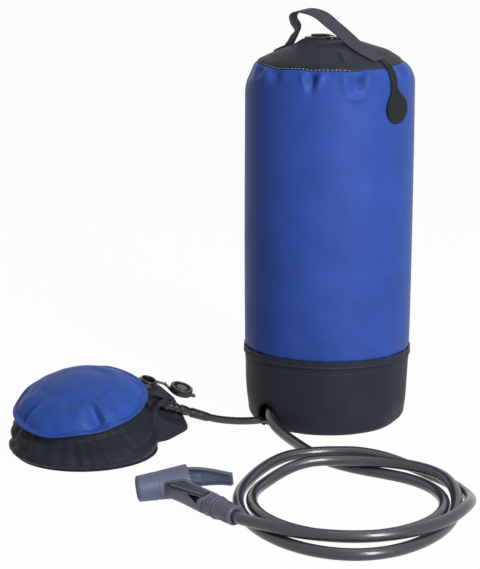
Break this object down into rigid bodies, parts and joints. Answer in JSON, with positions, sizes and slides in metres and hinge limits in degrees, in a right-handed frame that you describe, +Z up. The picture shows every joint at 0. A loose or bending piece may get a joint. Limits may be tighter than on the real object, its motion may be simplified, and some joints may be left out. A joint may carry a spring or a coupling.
{
  "type": "camp shower pump set",
  "caption": "Pressurised camp shower: soft water tank on a base, foot pump with a cushion top, coiled hose and a trigger spray handset.",
  "frame": {"origin": "centre of the tank base on the floor", "axes": "+Z up along the tank axis; +X to the right and +Y away from the viewer in the picture, so the pump lies at -X and the handset at -Y"},
  "size_m": [0.5035, 0.5862, 0.4945],
  "materials": {
    "blue_cloth": "satin coated polyester cloth with a fine weave",
    "black_cloth": "matt coated polyester cloth",
    "webbing": "woven flat webbing",
    "blue_cushion": "coated cloth over foam, welded at the rim",
    "foam": "open-cell foam",
    "stopper_rubber": "soft moulded rubber, slight sheen",
    "seal_rubber": "smooth rubber",
    "black_plastic": "glossy moulded plastic",
    "hose_pvc": "soft glossy PVC",
    "grey_plastic": "moulded plastic with a fine grain",
    "dark_plastic": "moulded plastic",
    "steel": "drawn stainless steel"
  },
  "bodies": {
    "shower": {"tank_sleeve": "blue_cloth", "tank_floor": "blue_cloth", "top_panel": "black_cloth", "base_sleeve": "black_cloth", "base_floor": "black_cloth", "base_hem": "black_cloth", "cutout_binding": "black_cloth", "pump_base": "black_cloth", "pump_wall": "black_cloth", "pump_hood": "black_cloth", "strap_foot_right": "webbing", "strap_foot_left": "webbing", "tab_root": "webbing", "pump_foam": "foam", "filler_neck": "stopper_rubber", "filler_tether": "stopper_rubber", "valve_neck": "stopper_rubber", "valve_tether": "stopper_rubber", "outlet_gasket": "seal_rubber", "inlet_gasket": "seal_rubber", "coupling_washer": "seal_rubber", "outlet_fitting": "black_plastic", "outlet_nut": "black_plastic", "inlet_fitting": "black_plastic", "inlet_nut": "black_plastic", "pump_connector": "black_plastic", "connector_ring": "black_plastic", "strain_relief": "black_plastic", "air_hose": "hose_pvc", "water_hose_lead": "hose_pvc", "water_hose_coil": "hose_pvc", "water_hose_tail": "hose_pvc", "spray_head": "grey_plastic", "gun_handle": "grey_plastic", "hose_collar": "grey_plastic", "spray_face": "dark_plastic", "face_ring": "dark_plastic", "handle_inlay": "dark_plastic", "outlet_ferrule": "steel", "inlet_ferrule": "steel", "trigger_pin": "steel", "valve_spring": "steel"},
    "pump_top": {"pump_cushion": "blue_cushion"},
    "filler_stopper": {"filler_plug": "stopper_rubber"},
    "pump_stopper": {"valve_plug": "stopper_rubber"},
    "strap": {"carry_strap": "webbing"},
    "tab": {"tab_pad": "webbing"},
    "lever": {"trigger": "grey_plastic"},
    "stem": {"valve_stem": "steel", "stem_seal": "seal_rubber"},
    "nut": {"coupling_nut": "grey_plastic"},
    "intake_valve": {"intake_flap": "seal_rubber"},
    "outlet_valve": {"outlet_flap": "seal_rubber"},
    "inlet_valve": {"inlet_disc": "seal_rubber"}
  },
  "joints": [
    {"name": "pump_press", "type": "slide", "parent": "shower", "child": "pump_top", "axis": [0, 0, -1], "range_m": [0, 0.022], "stiffness_N_per_m": 4000, "deforming": ["pump_wall", "pump_foam"]},
    {"name": "filler_flip", "type": "hinge", "parent": "shower", "child": "filler_stopper", "pos_m": [0.00291, 0.00649, 0.46248], "axis": [-0.4226, 0.9063, 0], "range_deg": [-180, 0]},
    {"name": "valve_flip", "type": "hinge", "parent": "shower", "child": "pump_stopper", "pos_m": [-0.19371, -0.08161, 0.06244], "axis": [-0.0152, 0.9862, 0.1651], "range_deg": [-180, 0]},
    {"name": "strap_swing", "type": "hinge", "parent": "shower", "child": "strap", "pos_m": [-0.0474, 0.02415, 0.45152], "axis": [0.7625, -0.6466, 0.0226], "range_deg": [-20, 20], "stiffness_Nm_per_rad": 0.05},
    {"name": "tab_lift", "type": "hinge", "parent": "shower", "child": "tab", "pos_m": [0.06929, -0.0743, 0.408], "axis": [-0.7314, -0.682, 0], "range_deg": [0, 75]},
    {"name": "lever_squeeze", "type": "hinge", "parent": "shower", "child": "lever", "pos_m": [-0.16389, -0.29762, 0.01975], "axis": [-0.086, -0.0794, 0.9931], "range_deg": [-18, 0], "stiffness_Nm_per_rad": 0.6},
    {"name": "stem_slide", "type": "slide", "parent": "shower", "child": "stem", "axis": [0.9722, 0.2111, 0.1011], "range_m": [-0.0029, 0], "deforming": ["valve_spring"]},
    {"name": "nut_spin", "type": "hinge", "parent": "shower", "child": "nut", "pos_m": [-0.13257, -0.37327, 0.01642], "axis": [0.6054, -0.7958, -0.0112], "continuous": true},
    {"name": "intake_open", "type": "slide", "parent": "shower", "child": "intake_valve", "axis": [0.3157, -0.152, 0.9366], "range_m": [-0.002, 0], "stiffness_N_per_m": 30},
    {"name": "outlet_open", "type": "slide", "parent": "shower", "child": "outlet_valve", "axis": [0.8261, 0.4209, -0.3746], "range_m": [0, 0.003], "stiffness_N_per_m": 20},
    {"name": "inlet_open", "type": "slide", "parent": "shower", "child": "inlet_valve", "axis": [0, 0, 1], "range_m": [0, 0.002]}
  ],
  "couplings": [
    {"joint": "stem_slide", "follows": "lever_squeeze", "m_per_rad": 0.009}
  ]
}
